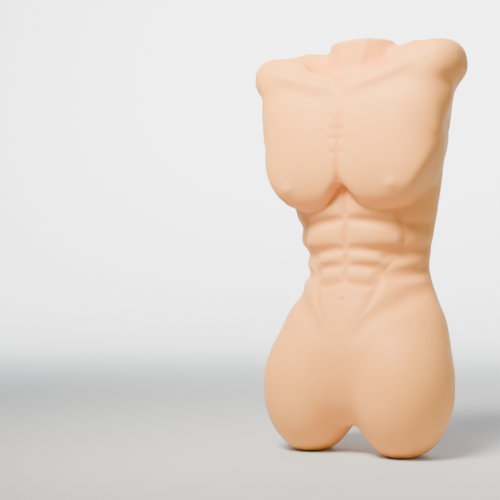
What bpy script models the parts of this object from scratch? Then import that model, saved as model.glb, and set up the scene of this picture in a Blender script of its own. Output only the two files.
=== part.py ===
"""Headless, armless male torso form: a soft cast elastomer skin over a two-part foam core on a bolted steel frame.

Row frame: metres, +Z up. Origin on the ground under the middle of the form, +X to the form's own left, the chest faces -Y.
The pelvis is a smooth, featureless mannequin form.
"""

import math

import bmesh
import bpy
from mathutils import Euler, Matrix, Vector

MM = 0.001

# ---- driving dimensions, millimetres ---------------------------------------------------------------------------
BASE_Z, TOP_Z = 6.0, 350.0  # design heights of the flat base and of the cut of the neck
Y_SHIFT = -7.12  # moves the design axes so that the body's box is centred on the origin
WALL = 13.0  # elastomer over the core, at its thinnest
GAP = 0.3  # clearance between pieces that touch
VOXEL = 2.6  # grid at which the soft masses are merged into one skin
SKIN_RATIO = 0.09  # share of the merged faces that is kept

SPINE_Y = 14.0  # axis of the spine tube, which is also the core's parting plane
SPINE_R, SPINE_BORE_R = 6.0, 4.5
SPINE_Z = (80.0, 340.0)
BAR_T, BAR_H = 3.0, 20.0  # flat steel bars
BAR_Y = (SPINE_Y - SPINE_R - GAP - BAR_T, SPINE_Y - SPINE_R - GAP)
SHOULDER_BAR_Z, SHOULDER_BAR_L = 300.0, 112.0
HIP_BAR_Z, HIP_BAR_L = 94.0, 106.0
POST_R, POST_BORE_R, POST_X = 5.0, 3.6, 41.0
POST_Y = BAR_Y[0] - GAP - POST_R
POST_Z = (16.0, 106.0)
BOLT_R, HEAD_R, HEAD_H, NUT_H = 2.5, 4.62, 3.5, 4.0  # M5 hexagon heads, 8 mm across flats
PLUG_H = 8.5
CORE_Z = (72.0, 318.0)
THIGH_Z = 60.0  # middle of the thigh stumps
ABDOMEN = (  # rows of belly muscle: middle height, rise, half width
    (205, 18, 36),
    (185, 21, 38),
    (166.5, 12, 38),
    (154, 10.5, 31),
    (134, 26, 26),
)
FLANK_ROLLS = (182, 162, 143)

# trunk sections: height, half width, front, back, depth of the widest point, front and back roundness
TRUNK = [
    (30, 50, -26, 38, 6, 2.1, 2.1),
    (45, 63, -38, 50, 6, 2.2, 2.2),
    (65, 72, -43, 58, 7, 2.2, 2.2),
    (90, 74, -42, 60, 9, 2.1, 2.2),
    (115, 70, -37, 56, 13, 2.0, 2.3),
    (135, 61, -30, 52, 17, 1.9, 2.4),
    (158, 54, -24, 50, 21, 1.8, 2.5),
    (180, 57, -24, 50, 20, 1.9, 2.5),
    (205, 62, -25, 52, 17, 2.0, 2.5),
    (235, 67, -25, 54, 14, 2.3, 2.5),
    (265, 71, -24, 55, 12, 2.5, 2.5),
    (290, 74, -21, 52, 9, 2.6, 2.5),
    (308, 77, -17, 46, 7, 2.6, 2.5),
    (322, 79, -9, 40, 8, 2.4, 2.4),
    (332, 74, 2, 34, 12, 2.2, 2.2),
    (340, 58, 10, 25, 16, 2.0, 2.0),
]

for old in list(bpy.data.objects):
    bpy.data.objects.remove(old, do_unlink=True)

parts = bpy.data.collections.new("soft_torso_form")
cutters = bpy.data.collections.new("cutters")
for group in (parts, cutters):
    bpy.context.scene.collection.children.link(group)


# ---- materials -------------------------------------------------------------------------------------------------
def material(name, colour, roughness, metallic=0.0):
    m = bpy.data.materials.new(name)
    m.use_nodes = True
    shader = m.node_tree.nodes["Principled BSDF"]
    shader.inputs["Base Color"].default_value = (*colour, 1.0)
    shader.inputs["Roughness"].default_value = roughness
    shader.inputs["Metallic"].default_value = metallic
    return m


ELASTOMER = material("elastomer", (0.80, 0.53, 0.38), 0.45)
FOAM = material("foam", (0.82, 0.77, 0.62), 0.95)
STEEL = material("zinc_plated_steel", (0.62, 0.63, 0.65), 0.35, 1.0)


# ---- building blocks -------------------------------------------------------------------------------------------
def link(name, mesh, group, mat=None):
    obj = bpy.data.objects.new(name, mesh)
    group.objects.link(obj)
    if mat:
        mesh.materials.append(mat)
    if group is cutters:
        obj.hide_render = True
        obj.display_type = "WIRE"
    return obj


def from_bmesh(name, bm, group, mat=None, smooth=None):
    mesh = bpy.data.meshes.new(name)
    bmesh.ops.recalc_face_normals(bm, faces=bm.faces)
    bm.to_mesh(mesh)
    bm.free()
    if smooth is not None:
        mesh.shade_smooth()
        mesh.set_sharp_from_angle(angle=math.radians(smooth))
    return link(name, mesh, group, mat)


def placed(x, y, z):
    """A design point in millimetres as a point in the row frame."""
    return Vector((x * MM, (y + Y_SHIFT) * MM, (z - BASE_Z) * MM))


def cylinder(name, p, q, radius, group, mat=None, segments=24, hexagon=False):
    """A round or hexagonal bar between two design points."""
    a, b = placed(*p), placed(*q)
    bm = bmesh.new()
    bmesh.ops.create_cone(
        bm,
        cap_ends=True,
        segments=6 if hexagon else segments,
        radius1=radius * MM,
        radius2=radius * MM,
        depth=(b - a).length,
    )
    obj = from_bmesh(name, bm, group, mat, 40)
    obj.location = (a + b) / 2
    obj.rotation_mode = "QUATERNION"
    obj.rotation_quaternion = (b - a).to_track_quat("Z", "Y")
    return obj


def box(name, low, high, group, mat=None):
    a, b = placed(*low), placed(*high)
    bm = bmesh.new()
    bmesh.ops.create_cube(bm, size=1.0, matrix=Matrix.Diagonal((*(b - a), 1.0)))
    obj = from_bmesh(name, bm, group, mat)
    obj.location = (a + b) / 2
    return obj


def boolean(obj, other, operation="DIFFERENCE"):
    mod = obj.modifiers.new(operation.lower(), "BOOLEAN")
    mod.object = other
    mod.operation = operation
    mod.solver = "EXACT"
    return mod


def evaluated_mesh(obj):
    bpy.context.view_layer.update()
    graph = bpy.context.evaluated_depsgraph_get()
    return bpy.data.meshes.new_from_object(obj.evaluated_get(graph))


# ---- trunk sections --------------------------------------------------------------------------------------------
def trunk_at(z):
    """The trunk's section values at a height, by a smooth cubic through the levels."""
    zs = [row[0] for row in TRUNK]
    z = min(max(z, zs[0]), zs[-1])
    i = max(k for k in range(len(zs) - 1) if zs[k] <= z)

    def slope(k, c):
        lo, hi = max(k - 1, 0), min(k + 1, len(zs) - 1)
        return (TRUNK[hi][c] - TRUNK[lo][c]) / (zs[hi] - zs[lo])

    h = zs[i + 1] - zs[i]
    t = (z - zs[i]) / h
    return [
        (2 * t**3 - 3 * t**2 + 1) * TRUNK[i][c]
        + (t**3 - 2 * t**2 + t) * h * slope(i, c)
        + (3 * t**2 - 2 * t**3) * TRUNK[i + 1][c]
        + (t**3 - t**2) * h * slope(i + 1, c)
        for c in range(1, 7)
    ]


def section(z, inset, points):
    """One closed ring of the trunk, moved in by inset: two half superellipses that meet at the sides."""
    a, front, back, wide, n_front, n_back = trunk_at(z)
    a, front, back = a - inset, front + inset, back - inset
    ring = []
    for k in range(points):
        angle = 2 * math.pi * k / points
        c, s = math.cos(angle), math.sin(angle)
        n = n_back if s > 0 else n_front
        depth = back - wide if s > 0 else wide - front
        ring.append(
            (
                a * math.copysign(abs(c) ** (2 / n), c),
                wide + depth * math.copysign(abs(s) ** (2 / n), s),
                z,
            )
        )
    return ring


def trunk_loft(bm, levels, inset, points):
    """Rings at the levels, bridged and capped. The sections are unlike each other, so this is a loft."""
    rings = [
        [bm.verts.new(placed(*p)) for p in section(z, inset, points)] for z in levels
    ]
    for low, high in zip(rings, rings[1:]):
        for k in range(points):
            m = (k + 1) % points
            bm.faces.new((low[k], low[m], high[m], high[k]))
    bm.faces.new(list(reversed(rings[0])))
    bm.faces.new(rings[-1])


# ---- soft masses of the body -----------------------------------------------------------------------------------
def mass(bm, centre, semi, outline=2.0, depth=2.0, tilt=(0, 0, 0)):
    """A rounded mass: a sphere pushed out to a superellipsoid, tilted in degrees, and moved into place.

    outline squares its front view, depth squares its profile; 2 is round.
    """
    made = bmesh.ops.create_uvsphere(bm, u_segments=48, v_segments=28, radius=1.0)
    turn = Euler([math.radians(t) for t in tilt]).to_matrix()
    for v in made["verts"]:
        d = v.co
        face = abs(d.x / semi[0]) ** outline + abs(d.z / semi[2]) ** outline
        size = (face ** (depth / outline) + abs(d.y / semi[1]) ** depth) ** (1 / depth)
        v.co = placed(*(turn @ (d / size) + Vector(centre)))


def rounded_limb(bm, p, q, r_p, r_q):
    """A muscle run: two balls and the skin stretched over both."""
    verts = []
    for at, r in ((p, r_p), (q, r_q)):
        made = bmesh.ops.create_uvsphere(bm, u_segments=24, v_segments=16, radius=1.0)
        for v in made["verts"]:
            v.co = placed(*(Vector(at) + v.co * r))
        verts += made["verts"]
    hull = bmesh.ops.convex_hull(bm, input=verts, use_existing_faces=False)
    inner = [g for g in hull["geom_interior"] if isinstance(g, bmesh.types.BMVert)]
    bmesh.ops.delete(bm, geom=inner, context="VERTS")


def front(x, z):
    """Depth of the trunk's front surface at a distance from the middle plane."""
    a, near, _, wide, n, _ = trunk_at(z)
    return wide - (wide - near) * max(1 - (abs(x) / a) ** n, 0) ** (1 / n)


def flank(y, z):
    """Half width of the trunk at a depth."""
    a, near, back, wide, n_front, n_back = trunk_at(z)
    n, reach = (n_front, wide - near) if y < wide else (n_back, back - wide)
    return a * max(1 - (abs(y - wide) / reach) ** n, 0) ** (1 / n)


def merged(name, bm, iterations):
    """One closed skin over all the shapes in bm, its joins rounded by the smoothing."""
    source = from_bmesh(name, bm, cutters)
    merge = source.modifiers.new("merge", "REMESH")
    merge.mode = "VOXEL"
    merge.voxel_size = VOXEL * MM
    blend = source.modifiers.new("blend", "SMOOTH")
    blend.factor = 0.5
    blend.iterations = iterations
    return evaluated_mesh(source)


# large masses, blended widely
bm = bmesh.new()
trunk_loft(bm, [30 + 10 * k for k in range(32)], 0.0, 64)
for side in (1, -1):
    mass(bm, (61 * side, 0, 320), (34, 27, 22), 2.6, 2.4, (0, -7 * side, 0))  # shoulder
    rounded_limb(bm, (6 * side, -13, 303), (80 * side, -9, 322), 9, 12)  # collar ridge
    rounded_limb(bm, (14 * side, 16, 335), (76 * side, 10, 331), 10, 11)  # trapezius
    rounded_limb(bm, (66 * side, -14, 306), (68 * side, -12, 262), 12, 11)  # armpit fold
    mass(bm, (41 * side, 37, 268), (25, 14, 36), tilt=(0, 8 * side, 0))  # shoulder blade
    mass(bm, (33 * side, 34, 82), (34, 32, 46), 2.2)  # seat
    mass(bm, (41 * side, -2, THIGH_Z), (41, 49.5, 56.5), 2.0, 2.3, (-2, 0, 0))  # thigh stump
neck = bmesh.ops.create_cone(
    bm, cap_ends=True, segments=48, radius1=1.0, radius2=1.0, depth=1.0
)
for v in neck["verts"]:
    v.co = placed(v.co.x * 28, v.co.y * 24 + 13, 335 + v.co.z * 64)
large = merged("large_masses", bm, 16)

# muscle relief, blended narrowly
bm = bmesh.new()
bm.from_mesh(large)
for side in (1, -1):
    mass(bm, (37 * side, -8, 259), (41, 32, 55), 2.8, 2.3, (-4, 0, 0))  # breast muscle
    for z, rise, half_width in ABDOMEN:  # belly muscle blocks, in rows down the front
        lean = math.degrees(math.atan2(front(half_width, z) - front(3, z), half_width))
        mass(
            bm,
            (half_width / 2 * side, front(half_width / 2, z) + 4.5, z),
            (half_width / 2 + 0.8, 9, rise / 2 + 0.8),
            3.2,
            2.2,
            (0, 5 * side, lean * side),
        )
    for z in FLANK_ROLLS:  # shallow rolls round the waist
        near, far = (flank(0, z) - 4.5, 0, z), (flank(24, z) - 5, 24, z - 4)
        rounded_limb(bm, [near[0] * side, *near[1:]], [far[0] * side, *far[1:]], 6.5, 6.5)
relief = merged("muscle_relief", bm, 5)


def cut_plane(bm, point, normal, fill):
    """Cuts away what lies outside a plane, and closes the cut where it is a flat of the body."""
    cut = bmesh.ops.bisect_plane(
        bm,
        geom=bm.verts[:] + bm.edges[:] + bm.faces[:],
        dist=1e-6,
        plane_co=point,
        plane_no=normal,
        clear_outer=True,
    )
    if fill:
        edges = [g for g in cut["geom_cut"] if isinstance(g, bmesh.types.BMEdge)]
        bmesh.ops.triangle_fill(bm, edges=edges, use_beauty=True)


# flat base under both stumps, a flat cut at the neck, then one half, open at the middle plane, to be mirrored
half = bmesh.new()
half.from_mesh(relief)
cut_plane(half, (0, 0, 0), (0, 0, -1), True)
cut_plane(half, placed(0, 0, TOP_Z), (0, 0, 1), True)
for v in half.verts:
    if abs(v.co.x) < 0.3 * MM:
        v.co.x = 0.0
cut_plane(half, (0, 0, 0), (-1, 0, 0), False)
flat = [f for f in half.faces if all(abs(v.co.x) < 1e-6 for v in f.verts)]
bmesh.ops.delete(half, geom=flat, context="FACES")
dense = from_bmesh("half_form", half, cutters)
thin = dense.modifiers.new("thin", "DECIMATE")
thin.ratio = SKIN_RATIO

half = bmesh.new()
half.from_mesh(evaluated_mesh(dense))
for v in half.verts:
    if v.is_boundary:
        v.co.x = 0.0
    if v.co.z < 0.3 * MM:
        v.co.z = 0.0
    if v.co.z > (TOP_Z - BASE_Z - 0.3) * MM:
        v.co.z = (TOP_Z - BASE_Z) * MM
torso = from_bmesh("torso_skin", half, parts, ELASTOMER, 60)
mirror = torso.modifiers.new("mirror", "MIRROR")
mirror.use_axis = (True, False, False)
mirror.merge_threshold = 0.00001

# ---- core, in a front and a back half on the spine's plane -------------------------------------------------------
core_levels = [CORE_Z[0], 90, 115, 135, 158, 180, 210, 250, 290, CORE_Z[1]]


def loft_object(name, inset, levels, group, mat=None):
    bm = bmesh.new()
    trunk_loft(bm, levels, inset, 24)
    return from_bmesh(name, bm, group, mat, 50)


cavity = loft_object(
    "core_cavity",
    WALL,
    [core_levels[0] - GAP, *core_levels[1:-1], core_levels[-1] + GAP],
    cutters,
)
boolean(torso, cavity)
boolean(
    torso,
    cylinder(
        "neck_bore",
        (0, SPINE_Y, CORE_Z[1] - 20),
        (0, SPINE_Y, TOP_Z + 20),
        SPINE_R + GAP,
        cutters,
    ),
)
for side, word in ((1, "left"), (-1, "right")):
    boolean(
        torso,
        cylinder(
            f"post_bore_{word}",
            (POST_X * side, POST_Y, -20),
            (POST_X * side, POST_Y, CORE_Z[0] + 20),
            POST_R + GAP,
            cutters,
        ),
    )

# hardware pockets in the foam: each clears its piece by the gap or a little more
pocket_spine = cylinder(
    "pocket_spine",
    (0, SPINE_Y, SPINE_Z[0] - 1),
    (0, SPINE_Y, CORE_Z[1] + 20),
    SPINE_R + GAP,
    cutters,
)


def bar_pocket(name, z, length):
    return box(
        name,
        (-length / 2 - GAP, BAR_Y[0] - GAP, z - BAR_H / 2 - GAP),
        (length / 2 + GAP, SPINE_Y + 5, z + BAR_H / 2 + GAP),
        cutters,
    )


pocket_shoulder = bar_pocket("pocket_shoulder_bar", SHOULDER_BAR_Z, SHOULDER_BAR_L)
pocket_hip = bar_pocket("pocket_hip_bar", HIP_BAR_Z, HIP_BAR_L)
front_pockets, back_pockets = [pocket_spine, pocket_shoulder, pocket_hip], [pocket_spine]
for name, z in (("shoulder", SHOULDER_BAR_Z), ("hip", HIP_BAR_Z)):
    front_pockets.append(
        cylinder(
            f"pocket_{name}_head",
            (0, BAR_Y[0] - HEAD_H - 2, z),
            (0, SPINE_Y, z),
            HEAD_R + 0.8,
            cutters,
        )
    )
    back_pockets.append(
        cylinder(
            f"pocket_{name}_nut",
            (0, SPINE_Y - 2, z),
            (0, SPINE_Y + SPINE_R + NUT_H + 4, z),
            HEAD_R + 0.8,
            cutters,
        )
    )
for side, word in ((1, "left"), (-1, "right")):
    front_pockets.append(
        cylinder(
            f"pocket_post_{word}",
            (POST_X * side, POST_Y, CORE_Z[0] - 20),
            (POST_X * side, POST_Y, POST_Z[1] + 1),
            POST_R + GAP,
            cutters,
        )
    )
    front_pockets.append(
        cylinder(
            f"pocket_post_bolt_{word}",
            (POST_X * side, POST_Y - POST_R - HEAD_H - 2, HIP_BAR_Z),
            (POST_X * side, SPINE_Y + 5, HIP_BAR_Z),
            HEAD_R + 0.8,
            cutters,
        )
    )

for name, low, high, pockets in (
    ("core_front", -200, SPINE_Y - GAP / 2, front_pockets),
    ("core_back", SPINE_Y + GAP / 2, 200, back_pockets),
):
    core = loft_object(name, WALL + GAP, core_levels, parts, FOAM)
    keep = box(f"keep_{name}", (-150, low, 0), (150, high, 400), cutters)
    boolean(core, keep, "INTERSECT")
    for pocket in pockets:
        boolean(core, pocket)


# ---- steel frame -----------------------------------------------------------------------------------------------
def drilled(obj, holes):
    for i, (p, q, r) in enumerate(holes):
        boolean(obj, cylinder(f"{obj.name}_hole_{i}", p, q, r, cutters, segments=16))
    return obj


def cross_hole(x, z):
    return ((x, -40, z), (x, 60, z), BOLT_R + GAP)


drilled(
    cylinder(
        "spine_tube",
        (0, SPINE_Y, SPINE_Z[0]),
        (0, SPINE_Y, SPINE_Z[1]),
        SPINE_R,
        parts,
        STEEL,
    ),
    [
        ((0, SPINE_Y, SPINE_Z[0] - 5), (0, SPINE_Y, SPINE_Z[1] + 5), SPINE_BORE_R),
        cross_hole(0, SHOULDER_BAR_Z),
        cross_hole(0, HIP_BAR_Z),
    ],
)


def flat_bar(name, z, length, holes):
    bar = box(
        name,
        (-length / 2, BAR_Y[0], z - BAR_H / 2),
        (length / 2, BAR_Y[1], z + BAR_H / 2),
        parts,
        STEEL,
    )
    edge = bar.modifiers.new("edges", "BEVEL")
    edge.width = 0.6 * MM
    edge.segments = 1
    return drilled(bar, [cross_hole(x, z) for x in holes])


flat_bar("shoulder_bar", SHOULDER_BAR_Z, SHOULDER_BAR_L, [0])
flat_bar("hip_bar", HIP_BAR_Z, HIP_BAR_L, [-POST_X, 0, POST_X])

for side, word in ((1, "left"), (-1, "right")):
    drilled(
        cylinder(
            f"thigh_post_{word}",
            (POST_X * side, POST_Y, POST_Z[0]),
            (POST_X * side, POST_Y, POST_Z[1]),
            POST_R,
            parts,
            STEEL,
        ),
        [
            (
                (POST_X * side, POST_Y, POST_Z[0] - 5),
                (POST_X * side, POST_Y, POST_Z[1] + 5),
                POST_BORE_R,
            ),
            cross_hole(POST_X * side, HIP_BAR_Z),
        ],
    )


def bolt(name, x, z, head_y, end_y):
    """A hexagon bolt along +Y: the head's underside at head_y, the shank's end at end_y."""
    head = cylinder(
        name, (x, head_y - HEAD_H, z), (x, head_y, z), HEAD_R, parts, STEEL, hexagon=True
    )
    shank = cylinder(
        f"{name}_shank", (x, head_y - 1, z), (x, end_y, z), BOLT_R, cutters, segments=16
    )
    boolean(head, shank, "UNION")
    return head


def nut(name, x, z, y):
    body = cylinder(
        name, (x, y, z), (x, y + NUT_H, z), HEAD_R, parts, STEEL, hexagon=True
    )
    return drilled(body, [cross_hole(x, z)])


for name, z in (("shoulder", SHOULDER_BAR_Z), ("hip", HIP_BAR_Z)):
    nut_y = SPINE_Y + SPINE_R + GAP
    bolt(f"{name}_bolt", 0, z, BAR_Y[0] - GAP, nut_y + NUT_H + 1)
    nut(f"{name}_nut", 0, z, nut_y)
for side, word in ((1, "left"), (-1, "right")):
    nut_y = BAR_Y[1] + GAP
    bolt(
        f"post_bolt_{word}",
        POST_X * side,
        HIP_BAR_Z,
        POST_Y - POST_R - GAP,
        nut_y + NUT_H + 0.8,
    )
    nut(f"post_nut_{word}", POST_X * side, HIP_BAR_Z, nut_y)


# ---- elastomer plugs that close the moulding holes ---------------------------------------------------------------
def plug(name, x, y, z_low, z_high, r):
    body = cylinder(name, (x, y, z_low), (x, y, z_high), r, parts, ELASTOMER)
    edge = body.modifiers.new("edges", "BEVEL")
    edge.width = 0.5 * MM
    edge.segments = 1
    edge.limit_method = "ANGLE"
    edge.angle_limit = math.radians(60)
    return body


plug("neck_plug", 0, SPINE_Y, SPINE_Z[1] + 1, TOP_Z - 0.3, SPINE_R)
for side, word in ((1, "left"), (-1, "right")):
    low = BASE_Z + 0.4
    plug(f"thigh_plug_{word}", POST_X * side, POST_Y, low, low + PLUG_H, POST_R)
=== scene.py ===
"""Looks for the soft torso form: the detailed elastomer skin, its plugs, materials, light and camera.

Shapes are worked out in design millimetres, the same axes as the CAD source: the row frame is design
minus (0, 7.12, 6) mm.
"""

import math

import bmesh
import bpy
import numpy as np
import openvdb
from mathutils import Matrix, Vector


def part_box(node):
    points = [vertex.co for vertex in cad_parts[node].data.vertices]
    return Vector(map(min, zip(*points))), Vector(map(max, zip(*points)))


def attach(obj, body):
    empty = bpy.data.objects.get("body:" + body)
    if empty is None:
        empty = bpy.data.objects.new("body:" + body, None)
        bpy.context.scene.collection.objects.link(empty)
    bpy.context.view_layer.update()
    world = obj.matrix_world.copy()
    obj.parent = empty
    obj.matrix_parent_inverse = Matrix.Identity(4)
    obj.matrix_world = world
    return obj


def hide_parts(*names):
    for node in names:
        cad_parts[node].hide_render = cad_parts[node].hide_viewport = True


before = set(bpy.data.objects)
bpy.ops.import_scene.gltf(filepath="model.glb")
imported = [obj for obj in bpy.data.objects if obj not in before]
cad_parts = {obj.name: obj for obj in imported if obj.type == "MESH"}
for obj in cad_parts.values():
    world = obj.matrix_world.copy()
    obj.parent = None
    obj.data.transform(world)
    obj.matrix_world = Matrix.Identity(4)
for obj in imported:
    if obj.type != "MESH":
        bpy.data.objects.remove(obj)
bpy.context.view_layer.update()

Y_SHIFT, Z_SHIFT = -7.12, -6.0
BASE_Z, TOP_Z = 6.0, 350.0
STEP = 1.55

# ---- the form as a signed distance field --------------------------------------------------------------------------
# trunk sections: height, half width, front, back, depth of the widest point, front and back roundness
TRUNK = np.array(
    [
        (30, 50, -20, 38, 6, 2.1, 2.1),
        (45, 63, -32, 50, 6, 2.1, 2.2),
        (65, 72, -40, 58, 7, 2.1, 2.2),
        (90, 74, -42, 60, 9, 2.1, 2.2),
        (115, 70, -37, 56, 13, 2.0, 2.3),
        (135, 61, -30, 52, 17, 1.9, 2.4),
        (158, 54, -24, 50, 21, 1.8, 2.5),
        (180, 57, -24, 50, 20, 1.9, 2.5),
        (205, 62, -25, 52, 17, 2.0, 2.5),
        (235, 67, -25, 54, 14, 2.3, 2.5),
        (265, 71, -24, 55, 12, 2.5, 2.5),
        (290, 74, -21, 52, 9, 2.6, 2.5),
        (308, 77, -17, 46, 7, 2.6, 2.5),
        (322, 79, -9, 40, 8, 2.4, 2.4),
        (332, 74, 2, 34, 12, 2.2, 2.2),
        (340, 58, 10, 25, 16, 2.0, 2.0),
    ],
    float,
)


def cubic(z, zs, vs):
    """Smooth cubic through the levels."""
    m = np.gradient(vs, zs)
    z = np.clip(z, zs[0], zs[-1])
    i = np.clip(np.searchsorted(zs, z, side="right") - 1, 0, len(zs) - 2)
    h = zs[i + 1] - zs[i]
    t = (z - zs[i]) / h
    return (
        (2 * t**3 - 3 * t**2 + 1) * vs[i]
        + (t**3 - 2 * t**2 + t) * h * m[i]
        + (3 * t**2 - 2 * t**3) * vs[i + 1]
        + (t**3 - t**2) * h * m[i + 1]
    )


ZF = np.arange(TRUNK[0, 0], TRUNK[-1, 0] + 0.01, 0.5)
LUT = np.stack([cubic(ZF, TRUNK[:, 0], TRUNK[:, k]) for k in range(1, 7)])


def smin(a, b, k):
    h = np.maximum(k - np.abs(a - b), 0) / k
    return np.minimum(a, b) - h * h * h * k / 6.0


def smax(a, b, k):
    return -smin(-a, -b, k)


def step01(v):
    v = np.clip(v, 0, 1)
    return v * v * (3 - 2 * v)


def trunk(x, y, z):
    zi = np.clip((z - ZF[0]) / 0.5, 0, len(ZF) - 1.001)
    i = zi.astype(int)
    t = zi - i
    a, yf, yb, yw, nf, nb = [LUT[k][i] * (1 - t) + LUT[k][i + 1] * t for k in range(6)]
    dy = y - yw
    b = np.where(dy < 0, yw - yf, yb - yw)
    n = np.where(dy < 0, nf, nb)
    g = ((np.abs(x) / a) ** n + (np.abs(dy) / b) ** n + 1e-12) ** (1 / n)
    r = np.hypot(x, dy)
    f = (r + 1e-6) * (1 - 1 / np.maximum(g, 1e-6))
    cap = np.maximum(TRUNK[0, 0] - z, z - TRUNK[-1, 0])
    return smax(f, cap, 12.0)


def mass(x, y, z, c, s, n=2.0, m=2.0, tilt=(0.0, 0.0, 0.0)):
    """A rounded mass: n squares its front view, m its profile, tilt turns it in degrees."""
    from_centre = np.stack([x - c[0], y - c[1], z - c[2]])
    if any(tilt):
        ax, ay, az = np.radians(tilt)
        rx = np.array([[1, 0, 0], [0, np.cos(ax), -np.sin(ax)], [0, np.sin(ax), np.cos(ax)]])
        ry = np.array([[np.cos(ay), 0, np.sin(ay)], [0, 1, 0], [-np.sin(ay), 0, np.cos(ay)]])
        rz = np.array([[np.cos(az), -np.sin(az), 0], [np.sin(az), np.cos(az), 0], [0, 0, 1]])
        from_centre = np.tensordot((rz @ ry @ rx).T, from_centre, 1)
    X, Y, Z = from_centre
    face = (np.abs(X) / s[0]) ** n + (np.abs(Z) / s[2]) ** n + 1e-12
    g = (face ** (m / n) + (np.abs(Y) / s[1]) ** m) ** (1 / m)
    r = np.sqrt(X * X + Y * Y + Z * Z) + 1e-6
    return r * (1 - 1 / np.maximum(g, 1e-6))


def limb(x, y, z, p, q, r0, r1):
    p, q = np.array(p, float), np.array(q, float)
    d = q - p
    t = np.clip(((x - p[0]) * d[0] + (y - p[1]) * d[1] + (z - p[2]) * d[2]) / (d @ d), 0, 1)
    along = np.sqrt(
        (x - p[0] - t * d[0]) ** 2 + (y - p[1] - t * d[1]) ** 2 + (z - p[2] - t * d[2]) ** 2
    )
    return along - (r0 + (r1 - r0) * t)


def base(x, y, z):
    """The smooth body, with no creases."""
    x = np.abs(x)
    f = trunk(x, y, z)
    f = smin(f, mass(x, y, z, (62, 2, 321), (32, 26, 20), 2.5, 2.5, (0, -7, 0)), 22)  # shoulder
    f = smin(f, limb(x, y, z, (4, -19, 304), (76, -11.5, 325), 9.5, 10.5), 11)  # collar ridge
    f = smin(f, limb(x, y, z, (12, 15, 333), (50, 11, 334), 10, 10.5), 10)  # trapezius
    f = smin(f, limb(x, y, z, (50, 11, 334), (77, 6, 331), 10.5, 10), 10)
    f = smin(f, limb(x, y, z, (67, -15.5, 310), (69, -14, 268), 10.5, 10.5), 20)  # armpit fold
    f = smin(f, limb(x, y, z, (70, 12, 306), (66, 16, 276), 9, 8), 14)  # rear armpit fold
    f = smin(f, mass(x, y, z, (0, -7, 290), (46, 21, 26)), 14)  # upper breastbone
    f = smin(f, mass(x, y, z, (42, -5, 296), (42, 22, 24)), 16)  # upper chest, under the collar
    f = smin(f, mass(x, y, z, (0, -7, 209), (34, 16, 17), 2.4, 2.2), 8)  # top of the belly, in the notch of the chest
    r = np.sqrt((x / 28.5) ** 2 + ((y - 13) / 23.0) ** 2)
    neck = smax((r - 1) * 24.0, z - TOP_Z, 6)
    f = smin(f, smax(neck, 300 - z, 5), 9)
    f = smin(f, mass(x, y, z, (41, 37, 268), (25, 14, 36), tilt=(0, 8, 0)), 12)  # shoulder blade
    f = smin(f, mass(x, y, z, (33, 34, 82), (33, 31, 45), 2.2, 2.2), 14)  # seat
    f = smin(f, mass(x, y, z, (41, -1, 60), (40, 46, 56.5), 2.0, 2.1, (-2, 0, 0)), 14)  # thigh stump
    pec = mass(x, y, z, (26, -8, 257), (52.5, 32.5, 56), 3.2, 2.5, (-4, 0, 0))
    # lower edge: rises to a point at the middle and round the outer corner
    edge = 204.5 + 21 * np.exp(-((x / 13.0) ** 2)) + 0.028 * np.maximum(x - 39, 0) ** 2
    pec = smax(pec, (edge - z) * 0.92, 15)
    k = 2.5 + 18 * step01((z - 256) / 36)
    h = np.maximum(k - np.abs(f - pec), 0) / k
    return np.minimum(f, pec) - h * h * h * k / 6.0


# ---- creases and small rises, as lines on the body ------------------------------------------------------------------
def on_front(points):
    """(x, height, amount) to points on the body's front, each found along the depth."""
    out = []
    ys = np.arange(-66, 30, 0.5)
    for x, z, amount in points:
        f = base(np.full_like(ys, x), ys, np.full_like(ys, z))
        i = int(np.argmax(f < 0))
        t = f[i - 1] / (f[i - 1] - f[i])
        out.append((x, ys[i - 1] + 0.5 * t, z, amount))
    return out


def on_flank(points):
    """(depth, height, amount) to points on the body's left side, each found along the width."""
    out = []
    xs = np.arange(100, 0, -0.5)
    for y, z, amount in points:
        f = base(xs, np.full_like(xs, y), np.full_like(xs, z))
        i = int(np.argmax(f < 0))
        t = f[i - 1] / (f[i - 1] - f[i])
        out.append((xs[i - 1] - 0.5 * t, y, z, amount))
    return out


def curve(points, per=5):
    """A smooth curve through the points, as short straight pieces."""
    p = np.array(points, float)
    if len(p) < 3:
        return p
    e = np.vstack([2 * p[0] - p[1], p, 2 * p[-1] - p[-2]])
    out = []
    for i in range(len(p) - 1):
        a, b, c, d = e[i : i + 4]
        for t in np.arange(per) / per:
            out.append(
                0.5
                * (2 * b + (c - a) * t + (2 * a - 5 * b + 4 * c - d) * t * t + (3 * b - a - 3 * c + d) * t**3)
            )
    out.append(p[-1])
    return np.array(out)


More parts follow.
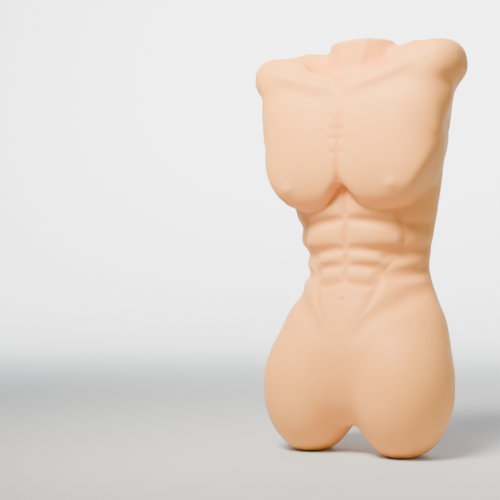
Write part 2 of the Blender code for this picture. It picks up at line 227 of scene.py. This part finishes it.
# each line: its points with the depth cut at each, the width of its soft shoulders, the share of a sharp bottom
LINES = [
    # belly: middle line, four creases, the outer edge of the rows, and the crown of each row
    (on_front([(0, 223, 1.0), (0, 214, 3.4), (0, 197, 5.2), (0, 185, 4.0), (0, 173, 5.4), (0, 160, 4.2), (0, 149, 3.6), (0, 140, 1.4), (0, 130, 0)]), 3.9, 0.5),
    (on_front([(0, 197.6, 5.0), (10, 196.8, 5.6), (24, 195.8, 6.4), (36, 194.6, 6.8), (42, 194, 5.0)]), 4.0, 0.5),
    (on_front([(0, 173.4, 5.0), (12, 173.0, 5.8), (26, 171.0, 6.6), (36, 168.6, 6.8), (42, 168.0, 5.4)]), 4.2, 0.5),
    (on_front([(0, 160, 2.8), (12, 159.6, 3.8), (22, 158.2, 4.8), (31, 155.6, 5.4)]), 3.2, 0.5),
    (on_front([(0, 147.8, 2.8), (8, 145.4, 4.4), (16, 143.8, 4.8), (23, 143.9, 4.8), (28, 147, 4.2)]), 3.6, 0.45),
    (on_front([(40.5, 201, 2.8), (42, 195, 5.2), (44.5, 190, 4.2), (45.5, 182, 4.0), (44, 174, 4.8), (39.5, 168, 6.0), (35, 162, 4.8), (32, 156, 5.4), (29, 150, 4.6), (27, 143, 4.0), (24.5, 133, 3.2), (20.5, 124, 2.4), (15, 116, 1.3), (10, 109, 0)]), 4.6, 0.3),
    (on_front([(8, 207, -0.6), (16, 206.5, -1.8), (26, 205.5, -2.0), (35, 204, -1.2)]), 6.2, 0.0),
    (on_front([(7, 184.5, -1.0), (16, 184.2, -2.0), (27, 183, -2.2), (37, 181.5, -1.4)]), 7.8, 0.0),
    (on_front([(6, 166.6, -0.8), (14, 166.2, -1.5), (24, 165, -1.6), (31, 163, -1.0)]), 4.8, 0.0),
    (on_front([(6, 153.2, -0.8), (12, 152.4, -1.4), (19, 151.4, -1.5), (25, 151, -0.8)]), 4.6, 0.0),
    (on_flank([(-10, 181, -0.8), (4, 182, -1.2), (18, 184, -0.8), (28, 187, 0)]), 7.5, 0.0),
    (on_flank([(-12, 161.5, -0.6), (4, 162.5, -1.0), (18, 165, -0.6), (28, 168, 0)]), 6.0, 0.0),
    # flank: rolls between the belly and the back
    (on_flank([(-11, 193, 2.6), (0, 193.4, 3.2), (12, 194, 2.6), (24, 196, 1.0), (32, 197, 0)]), 6.0, 0.15),
    (on_flank([(-13, 168.3, 5.4), (-2, 169.8, 5.4), (8, 171.6, 4.8), (20, 174.6, 3.4), (30, 177, 1.4), (38, 179, 0)]), 6.0, 0.2),
    (on_flank([(-16, 153.4, 4.8), (-9, 151.8, 5.0), (4, 153.6, 4.8), (14, 155.8, 3.8), (24, 158.6, 2.4), (34, 161, 0)]), 5.6, 0.2),
    # hip furrow, from the side of the waist down to the lap
    (on_flank([(22, 143.5, 0.0), (12, 140.6, 2.2), (2, 138.0, 3.8), (-8, 135.6, 4.6)]) + on_front([(45, 129.4, 5.0), (34, 123.0, 4.6), (25, 115.5, 3.6), (17, 105, 2.2), (12, 95, 0)]), 8.0, 0.12),
    # breastbone: long shallow line, three short cross creases, the notch at the throat
    (on_front([(0, 300, 0.2), (0, 285, 0.7), (0, 270, 1.5), (0, 258, 2.1), (0, 246, 3.0), (0, 236, 4.4), (0, 229, 5.6)]), 2.5, 0.45),
    (on_front([(0, 270.6, 2.4), (4, 270.8, 1.9), (8.5, 271.4, 0)]), 1.8, 0.0),
    (on_front([(0, 262.6, 2.2), (4, 262.6, 1.8), (8, 262.8, 0)]), 1.8, 0.0),
    (on_front([(0, 251.4, 2.2), (4, 251.2, 1.7), (8, 250.8, 0)]), 1.8, 0.0),
    (on_front([(0, 316, 1.0), (0, 309, 1.8), (0, 302, 0.6)]), 5.0, 0.0),
    # shallow line under the collar ridge, and the hollow over it
    (on_front([(5, 294.5, 0.5), (20, 297, 1.1), (36, 302, 1.0), (52, 307, 0.5), (62, 311, 0)]), 6.0, 0.0),
    ([(8, -14, 316, 0.8), (20, -12, 321, 2.6), (36, -9, 327, 3.6), (54, -5, 333, 3.6), (70, -2, 338, 1.0)], 6.5, 0.0),
    # rises, with a negative depth: neck cords, collar ridge, chest points
    (on_front([(13, 347, -0.6), (10, 338, -1.0), (6, 326, -1.0), (3.5, 316, 0)]), 3.4, 0.0),
    (on_front([(7, 306, -1.2), (22, 309.5, -2.2), (40, 315, -2.4), (56, 320, -1.8), (72, 325, 0)]), 5.5, 0.0),
    (on_front([(46.2, 223.2, -1.7), (46.6, 223.2, -1.7)]), 5.2, 0.0),
    (on_front([(46.2, 223.2, -0.8), (46.6, 223.2, -0.8)]), 2.6, 0.0),
    # navel: short cross crease under a small hood
    (on_front([(0, 133.0, 2.2), (1.8, 132.7, 1.7), (3.6, 132.9, 0)]), 1.9, 0.0),
    (on_front([(0, 136.2, -0.7), (3.5, 135.4, -0.5)]), 2.6, 0.0),
    (on_front([(0, 129.6, -0.5), (3.5, 130.2, -0.4)]), 2.4, 0.0),
    # back: spine furrow, inner and lower edges of the shoulder blades, cleft of the seat
    ([(0, 46, 318, 0), (0, 53, 290, 3.2), (0, 56, 250, 4.0), (0, 52, 205, 4.2), (0, 50, 170, 4.2), (0, 52, 140, 3.0), (0, 57, 118, 1.5)], 7.0, 0.15),
    ([(0, 58, 118, 1.0), (0, 58, 100, 5.0), (0, 58, 80, 7.0), (0, 52, 60, 7.0), (0, 44, 44, 6.0)], 4.2, 0.3),
    ([(20, 52, 296, 0.6), (19, 54, 275, 1.8), (24, 53, 248, 2.0), (36, 50, 232, 1.6), (52, 46, 228, 0.6)], 7.0, 0.0),
    ([(26, 50, 215, 0.0), (28, 49, 190, 1.8), (29, 48, 165, 1.8), (33, 48, 145, 0.8), (38, 48, 132, 0)], 8.0, 0.0),
]
LINES = [(curve(points), width, sharp) for points, width, sharp in LINES]


def relief(x, y, z):
    """How deep the creases cut at each point."""
    x = np.abs(x)
    total = np.zeros_like(x)
    for points, width, sharp in LINES:
        reach = 3.0 * width
        low, high = points[:, :3].min(0) - reach, points[:, :3].max(0) + reach
        near = np.nonzero(
            (x <= high[0]) & (y >= low[1]) & (y <= high[1]) & (z >= low[2]) & (z <= high[2]) & (x >= low[0])
        )[0]
        if not len(near):
            continue
        px, py, pz = x[near], y[near], z[near]
        best = np.full(len(near), 1e9)
        depth = np.zeros(len(near))
        for a, b in zip(points, points[1:]):
            d = b[:3] - a[:3]
            t = np.clip(((px - a[0]) * d[0] + (py - a[1]) * d[1] + (pz - a[2]) * d[2]) / max(d @ d, 1e-9), 0, 1)
            r = (px - a[0] - t * d[0]) ** 2 + (py - a[1] - t * d[1]) ** 2 + (pz - a[2] - t * d[2]) ** 2
            closer = r < best
            best = np.where(closer, r, best)
            depth = np.where(closer, a[3] + t * (b[3] - a[3]), depth)
        soft = np.exp(-best / width**2)
        hard = np.exp(-best / (0.42 * width) ** 2)
        cut = depth * ((1 - sharp) * soft + sharp * hard)
        total[near] = np.where(
            (total[near] > 0) & (cut > 0), smax(total[near], cut, 1.2), total[near] + cut
        )
    return total


def form(x, y, z):
    """The whole body: creased, and cut flat at the base and at the neck."""
    f = base(x, y, z) + relief(x, y, z)
    f = smax(f, z - TOP_Z, 3.0)
    return smax(f, BASE_Z - z, 2.0)


def surface(step):
    """The body's surface as points and four-sided faces, with a measure of how hollow it is at each point."""
    low = np.array([-104.0, -62.0, -2.0])
    high = np.array([104.0, 78.0, 358.0])
    n = np.ceil((high - low) / step).astype(int) + 1
    xs, ys, zs = [low[i] + step * np.arange(n[i]) for i in range(3)]
    half = int(np.searchsorted(xs, 0.0))
    X, Y, Z = np.meshgrid(xs, ys, zs, indexing="ij")
    field = np.empty(X.shape, np.float32)
    for i in range(n[0]):
        field[i] = base(X[i], Y[i], Z[i])
    band = np.abs(field) < 13.0
    bx, by, bz = X[band], Y[band], Z[band]
    field[band] += relief(bx, by, bz).astype(np.float32)
    field = smax(smax(field, (Z - TOP_Z).astype(np.float32), 3.0), (BASE_Z - Z).astype(np.float32), 2.0)
    grid = openvdb.FloatGrid(background=8.0)
    grid.copyFromArray(np.clip(field, -8, 8).astype(np.float32))
    points, triangles, quads = grid.convertToPolygons(isovalue=0.0, adaptivity=0.0)
    P = points.astype(float) * step + low
    e = 0.4
    for _ in range(3):
        f = form(*P.T)
        g = np.stack(
            [
                form(P[:, 0] + e, P[:, 1], P[:, 2]) - form(P[:, 0] - e, P[:, 1], P[:, 2]),
                form(P[:, 0], P[:, 1] + e, P[:, 2]) - form(P[:, 0], P[:, 1] - e, P[:, 2]),
                form(P[:, 0], P[:, 1], P[:, 2] + e) - form(P[:, 0], P[:, 1], P[:, 2] - e),
            ],
            1,
        ) / (2 * e)
        move = -f[:, None] * g / np.maximum((g * g).sum(1), 0.3)[:, None]
        P += np.clip(move, -0.5 * step, 0.5 * step)
    h = 3.5
    around = sum(form(*(P + d).T) for d in h * np.vstack([np.eye(3), -np.eye(3)]))
    return P, triangles, quads, (around - 6 * form(*P.T)) / h**2


def to_row(P):
    return (P + np.array([0.0, Y_SHIFT, Z_SHIFT])) * 0.001


# ---- pieces ---------------------------------------------------------------------------------------------------------
def mesh_object(name, verts, faces, smooth=True):
    mesh = bpy.data.meshes.new(name)
    mesh.from_pydata([tuple(v) for v in verts], [], [tuple(f) for f in faces])
    mesh.update()
    if smooth:
        mesh.shade_smooth()
    obj = bpy.data.objects.new(name, mesh)
    bpy.context.scene.collection.objects.link(obj)
    return obj


P, triangles, quads, bend = surface(STEP)
verts = to_row(P)
faces = [tuple(int(i) for i in q[::-1]) for q in quads] + [tuple(int(i) for i in t[::-1]) for t in triangles]
skin = mesh_object("torso_soft_skin", verts, faces)
bm = bmesh.new()
bm.from_mesh(skin.data)
bmesh.ops.recalc_face_normals(bm, faces=bm.faces)
bmesh.ops.smooth_vert(bm, verts=bm.verts, factor=0.25, use_axis_x=True, use_axis_y=True, use_axis_z=True)
bm.to_mesh(skin.data)
bm.free()
# the skin's curvature is stored to paint shade into its creases and a highlight onto its crests
hollow = skin.data.attributes.new("hollow", "FLOAT", "POINT")
hollow.data.foreach_set("value", np.clip(-bend * 2.2, -1, 1).astype(np.float32))
print("skin", len(skin.data.vertices), "points", len(skin.data.polygons), "faces")


# ---- hollow for the core, and the holes that the core is held by in the mould ----------------------------------------
WALL, GAP = 13.0, 0.3
SPINE_Y, SPINE_R = 14.0, 6.0
POST_X, POST_R = 41.0, 5.0
POST_Y = SPINE_Y - SPINE_R - GAP - 3.0 - GAP - POST_R
CORE = [72.0 - GAP, 90, 115, 135, 158, 180, 210, 250, 290, 318.0 + GAP]


def core_hollow():
    count = 64
    verts, faces = [], []
    for z in CORE:
        a, yf, yb, yw, nf, nb = [float(cubic(np.array([z]), TRUNK[:, 0], TRUNK[:, k])[0]) for k in range(1, 7)]
        a, yf, yb = a - WALL, yf + WALL, yb - WALL
        for k in range(count):
            t = 2 * math.pi * k / count
            c, s = math.cos(t), math.sin(t)
            n, d = (nb, yb - yw) if s > 0 else (nf, yw - yf)
            verts.append(
                (a * math.copysign(abs(c) ** (2 / n), c), yw + d * math.copysign(abs(s) ** (2 / n), s), z)
            )
    for r in range(len(CORE) - 1):
        for k in range(count):
            m = (k + 1) % count
            faces.append((r * count + k, r * count + m, (r + 1) * count + m, (r + 1) * count + k))
    faces.append(tuple(reversed(range(count))))
    faces.append(tuple(range((len(CORE) - 1) * count, len(CORE) * count)))
    return mesh_object("core_hollow", to_row(np.array(verts)), faces, False)


def bore(name, x, y, z0, z1, r):
    bm = bmesh.new()
    bmesh.ops.create_cone(bm, cap_ends=True, segments=64, radius1=r * 0.001, radius2=r * 0.001, depth=(z1 - z0) * 0.001)
    mesh = bpy.data.meshes.new(name)
    bm.to_mesh(mesh)
    bm.free()
    obj = bpy.data.objects.new(name, mesh)
    bpy.context.scene.collection.objects.link(obj)
    obj.location = to_row(np.array([x, y, (z0 + z1) / 2]))
    return obj


cuts = [core_hollow(), bore("neck_hole", 0, SPINE_Y, 300, 372, SPINE_R + GAP)]
cuts += [bore(f"thigh_hole_{k}", s * POST_X, POST_Y, -16, 92, POST_R + GAP) for k, s in enumerate((1, -1))]
for cut in cuts:
    mod = skin.modifiers.new("cut", "BOOLEAN")
    mod.object = cut
    mod.operation = "DIFFERENCE"
    mod.solver = "MANIFOLD"
bpy.context.view_layer.update()
result = bpy.data.meshes.new_from_object(skin.evaluated_get(bpy.context.evaluated_depsgraph_get()))
skin.modifiers.clear()
skin.data = result
for cut in cuts:
    bpy.data.objects.remove(cut)
skin.data.shade_smooth()
skin.data.set_sharp_from_angle(angle=math.radians(50))
bm = bmesh.new()
bm.from_mesh(skin.data)
print("cut skin", len(bm.verts), len(bm.faces), "open", sum(1 for e in bm.edges if len(e.link_faces) != 2), "tris", sum(len(f.verts) - 2 for f in bm.faces))
bm.free()


def plug(name, node, profile, count=64):
    """A turned plug on its node's axis: profile is (radius, height) in mm from the node's lowest point."""
    low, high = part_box(node)
    cx, cy = (low.x + high.x) / 2, (low.y + high.y) / 2
    verts, faces = [], []
    for r, z in profile:
        for k in range(count):
            t = 2 * math.pi * k / count
            verts.append((cx + r * 0.001 * math.cos(t), cy + r * 0.001 * math.sin(t), low.z + z * 0.001))
    for i in range(len(profile) - 1):
        for k in range(count):
            m = (k + 1) % count
            faces.append((i * count + k, i * count + m, (i + 1) * count + m, (i + 1) * count + k))
    faces.append(tuple(reversed(range(count))))
    faces.append(tuple(range((len(profile) - 1) * count, len(profile) * count)))
    obj = mesh_object(name, verts, faces)
    obj.data.set_sharp_from_angle(angle=math.radians(40))
    return obj


def cap(r, h, up):
    """Plug outline: a rolled rim and a slightly sunk middle on the outer end, a small chamfer on the inner end."""
    inner = [(0.6, 0.0), (r - 0.5, 0.0), (r, 0.5)]
    outer = [(r, h - 0.9), (r - 0.1, h - 0.5), (r - 0.4, h - 0.15), (r - 0.9, h), (r - 1.6, h - 0.1), (r - 2.6, h - 0.32), (1.2, h - 0.42), (0.5, h - 0.45)]
    profile = inner + outer
    if not up:
        profile = [(a, h - b) for a, b in reversed(profile)]
    return profile


plugs = []
for name, node, r, up in (
    ("neck_moulding_plug", "neck_plug", 6.0, True),
    ("thigh_moulding_plug_left", "thigh_plug_left", 5.0, False),
    ("thigh_moulding_plug_right", "thigh_plug_right", 5.0, False),
):
    low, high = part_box(node)
    piece = plug(name, node, cap(r, (high.z - low.z) * 1000, up))
    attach(piece, "root")
    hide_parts(node)
    plugs.append(piece)

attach(skin, "root")
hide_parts("torso_skin")


# ---- materials --------------------------------------------------------------------------------------------------------
class Nodes:
    """A short way to write a node tree."""

    def __init__(self, name):
        self.material = bpy.data.materials.new(name)
        self.material.use_nodes = True
        self.tree = self.material.node_tree
        self.shader = self.tree.nodes["Principled BSDF"]

    def add(self, kind, inputs=None, **fields):
        node = self.tree.nodes.new(kind)
        for key, value in fields.items():
            setattr(node, key, value)
        for key, value in (inputs or {}).items():
            if isinstance(value, bpy.types.NodeSocket):
                self.tree.links.new(value, node.inputs[key])
            else:
                node.inputs[key].default_value = value
        return node

    def link(self, socket, name):
        self.tree.links.new(socket, self.shader.inputs[name])

    def noise(self, scale, detail=3.0, rough=0.5, vector=None):
        inputs = {"Scale": scale, "Detail": detail, "Roughness": rough}
        if vector is not None:
            inputs["Vector"] = vector
        return self.add("ShaderNodeTexNoise", inputs).outputs["Fac"]

    def span(self, value, a, b, c, d):
        node = self.add("ShaderNodeMapRange", {0: value, 1: a, 2: b, 3: c, 4: d})
        return node.outputs[0]

    def mix(self, fac, a, b, blend="MIX"):
        node = self.add("ShaderNodeMix", data_type="RGBA", blend_type=blend)
        for key, value in ((0, fac), (6, a), (7, b)):
            if isinstance(value, bpy.types.NodeSocket):
                self.tree.links.new(value, node.inputs[key])
            else:
                node.inputs[key].default_value = value
        return node.outputs[2]

    def math(self, operation, a, b=0.0):
        return self.add("ShaderNodeMath", {0: a, 1: b}, operation=operation).outputs[0]

    def bump(self, height, strength, distance, normal=None):
        inputs = {"Height": height, "Strength": strength, "Distance": distance}
        if normal is not None:
            inputs["Normal"] = normal
        return self.add("ShaderNodeBump", inputs).outputs["Normal"]


def set_all(shader, **values):
    for key, value in values.items():
        shader.inputs[key.replace("_", " ")].default_value = value


def elastomer(name, tone=1.0, with_painted_shade_and_highlight=True):
    n = Nodes(name)
    place = n.add("ShaderNodeTexCoord").outputs["Object"]
    light = (0.955 * tone, 0.378 * tone, 0.080 * tone, 1)
    pink = (0.950 * tone, 0.360 * tone, 0.088 * tone, 1)
    gold = (0.945 * tone, 0.385 * tone, 0.064 * tone, 1)
    large = n.span(n.noise(16.0, 2.0, 0.5, place), 0.35, 0.65, 0.0, 1.0)
    middle = n.span(n.noise(55.0, 3.0, 0.55, place), 0.35, 0.68, 0.0, 1.0)
    colour = n.mix(n.math("MULTIPLY", large, 0.55), light, pink)
    colour = n.mix(n.math("MULTIPLY", middle, 0.22), colour, gold)
    if with_painted_shade_and_highlight:
        value = n.add("ShaderNodeAttribute", attribute_name="hollow").outputs["Fac"]
        # painted shade: the deepest creases are painted a darker orange-brown
        deep = n.span(value, 0.2, 1.0, 0.0, 0.8)
        colour = n.mix(deep, colour, (0.85, 0.27, 0.045, 1))
        # painted highlight: convex crests are painted a paler, less saturated peach
        painted_crest_highlight = n.span(value, -0.05, -0.6, 0.0, 0.4)
        colour = n.mix(painted_crest_highlight, colour, (0.955, 0.42, 0.12, 1))
    n.link(colour, "Base Color")
    rough = n.span(n.noise(140.0, 4.0, 0.6, place), 0.3, 0.7, 0.46, 0.60)
    n.link(rough, "Roughness")
    pores = n.add("ShaderNodeTexVoronoi", {"Vector": place, "Scale": 1500.0}).outputs["Distance"]
    grain = n.noise(900.0, 3.0, 0.6, place)
    skin_height = n.math("ADD", n.math("MULTIPLY", pores, 0.5), n.math("MULTIPLY", grain, 0.6))
    wave = n.noise(70.0, 2.0, 0.5, place)
    first = n.bump(wave, 0.12, 0.0012)
    n.link(n.bump(skin_height, 0.10, 0.00025, first), "Normal")
    set_all(
        n.shader,
        Subsurface_Weight=0.25,
        Subsurface_Scale=0.002,
        Subsurface_Radius=(1.0, 0.42, 0.22),
        Specular_IOR_Level=0.28,
        Sheen_Weight=0.03,
        Sheen_Roughness=0.6,
        IOR=1.41,
    )
    n.shader.inputs["Sheen Tint"].default_value = (1.0, 0.88, 0.78, 1)
    return n.material


def foam(name):
    n = Nodes(name)
    place = n.add("ShaderNodeTexCoord").outputs["Object"]
    cells = n.add("ShaderNodeTexVoronoi", {"Vector": place, "Scale": 700.0}).outputs["Distance"]
    blot = n.noise(40.0, 3.0, 0.5, place)
    n.link(n.mix(n.span(blot, 0.35, 0.7, 0.0, 1.0), (0.80, 0.73, 0.52, 1), (0.70, 0.60, 0.38, 1)), "Base Color")
    n.link(n.span(blot, 0.3, 0.7, 0.85, 0.97), "Roughness")
    n.link(n.bump(cells, 0.5, 0.0006), "Normal")
    return n.material


def steel(name, tint, streak=(8.0, 8.0, 600.0), base_rough=0.32, cloud=0.12):
    n = Nodes(name)
    place = n.add("ShaderNodeTexCoord").outputs["Object"]
    stretched = n.add("ShaderNodeMapping", {"Vector": place, "Scale": streak}).outputs["Vector"]
    lines = n.noise(6.0, 6.0, 0.7, stretched)
    clouds = n.noise(90.0, 4.0, 0.6, place)
    dark = tuple(c * (1 - cloud) for c in tint[:3]) + (1,)
    n.link(n.mix(n.span(clouds, 0.35, 0.7, 0.0, 1.0), tint, dark), "Base Color")
    n.link(n.span(n.math("ADD", lines, clouds), 0.7, 1.4, base_rough - 0.08, base_rough + 0.16), "Roughness")
    n.link(n.bump(lines, 0.15, 0.0002), "Normal")
    set_all(n.shader, Metallic=1.0)
    return n.material


SKIN = elastomer("cast_elastomer_peach")
PLUG = elastomer("cast_elastomer_plug", 0.93, False)
FOAM = foam("moulded_foam")
STEEL_DRAWN = steel("drawn_steel", (0.58, 0.59, 0.61, 1), (600.0, 600.0, 8.0))
STEEL_BAR = steel("rolled_steel_bar", (0.56, 0.57, 0.59, 1), (8.0, 600.0, 600.0), 0.36)
ZINC = steel("zinc_plate", (0.70, 0.72, 0.76, 1), (60.0, 60.0, 60.0), 0.28, 0.2)


def dress(obj, mat):
    obj.data.materials.clear()
    obj.data.materials.append(mat)


dress(skin, SKIN)
for piece in plugs:
    dress(piece, PLUG)
for name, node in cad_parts.items():
    if name.startswith("core_"):
        mat = FOAM
    elif name.endswith("_bar"):
        mat = STEEL_BAR
    elif "bolt" in name or "nut" in name:
        mat = ZINC
    elif "post" in name or name == "spine_tube":
        mat = STEEL_DRAWN
    else:
        continue
    for slot in node.material_slots:
        slot.material = mat


# ---- stage, light, camera ---------------------------------------------------------------------------------------------
def stage_material():
    n = Nodes("pale_stage")
    place = n.add("ShaderNodeTexCoord").outputs["Object"]
    depth = n.add("ShaderNodeSeparateXYZ", {0: place}).outputs["Y"]
    back = n.span(depth, 0.3, 2.2, 0.0, 1.0)
    tone = n.mix(n.noise(3.0, 2.0, 0.5, place), (0.53, 0.55, 0.575, 1), (0.56, 0.58, 0.605, 1))
    n.link(n.mix(back, tone, (0.86, 0.86, 0.86, 1)), "Base Color")
    set_all(n.shader, Roughness=0.85, Specular_IOR_Level=0.1)
    return n.material


profile = [(-9.0, 0.0), (1.6, 0.0)]
profile += [(1.6 + 1.4 * math.sin(a), 1.4 - 1.4 * math.cos(a)) for a in np.linspace(0.12, math.pi / 2, 14)]
profile += [(3.0, 7.0)]
rows = []
for d, h in profile:
    rows += [(-9.0, d, h), (9.0, d, h)]
floor = mesh_object("stage_sweep", rows, [(2 * i, 2 * i + 1, 2 * i + 3, 2 * i + 2) for i in range(len(profile) - 1)])
floor.rotation_euler = (0, 0, math.radians(25))
dress(floor, stage_material())

world = bpy.data.worlds.new("soft_sky")
bpy.context.scene.world = world
world.use_nodes = True
world.node_tree.nodes["Background"].inputs[0].default_value = (0.90, 0.96, 1.0, 1)
world.node_tree.nodes["Background"].inputs[1].default_value = 0.32

AZ = math.radians(25.0)
AXIS = Vector((0.0, Y_SHIFT * 0.001, 0.0))
TOWARDS = Vector((math.sin(AZ), -math.cos(AZ), 0.0))  # from the body to the camera
RIGHT = Vector((math.cos(AZ), math.sin(AZ), 0.0))


def softbox(name, right, towards, up, aim, size, watts, colour=(1, 1, 1), spread=180.0):
    light = bpy.data.lights.new(name, "AREA")
    light.shape = "RECTANGLE"
    light.size, light.size_y = size
    light.energy = watts
    light.color = colour
    light.spread = math.radians(spread)
    obj = bpy.data.objects.new(name, light)
    bpy.context.scene.collection.objects.link(obj)
    obj.location = AXIS + RIGHT * right + TOWARDS * towards + Vector((0, 0, up))
    obj.visible_camera = False
    obj.rotation_mode = "QUATERNION"
    obj.rotation_quaternion = (AXIS + Vector(aim) - obj.location).to_track_quat("-Z", "Y")
    return obj


softbox("key_near", -0.30, 0.42, 0.75, (0, 0, 0.30), (0.30, 0.30), 4.8, (1.0, 0.95, 0.82), 80.0)
softbox("key_high", -0.22, 0.60, 0.98, (0, 0, 0.22), (0.34, 0.34), 3.2, (1.0, 0.95, 0.82), 120.0)
softbox("side_soft", 1.40, 0.20, 0.80, (0, 0, 0.2), (0.9, 0.9), 2.2, (0.90, 0.97, 1.0), 120.0)
for side in (-1, 1):
    lamp = softbox(f"wall_{side}", 1.6 * side, 0.2, 2.4, (0, 0, 0), (1.2, 1.2), 100.0, spread=85.0)
    aim = AXIS - TOWARDS * 3.0 + RIGHT * 0.5 * side + Vector((0, 0, 0.9))
    lamp.rotation_quaternion = (aim - lamp.location).to_track_quat("-Z", "Y")

camera_data = bpy.data.cameras.new("camera")
camera_data.sensor_width = 36.0
camera_data.lens = 74.7
camera_data.clip_start = 0.02
camera = bpy.data.objects.new("camera", camera_data)
bpy.context.scene.collection.objects.link(camera)
camera.location = AXIS + TOWARDS * 0.870 + Vector((0, 0, 0.137 + Z_SHIFT * 0.001))
camera.rotation_mode = "XYZ"
camera.rotation_euler = (math.radians(90 + 2.41), 0.0, AZ + math.radians(5.90))
bpy.context.scene.camera = camera
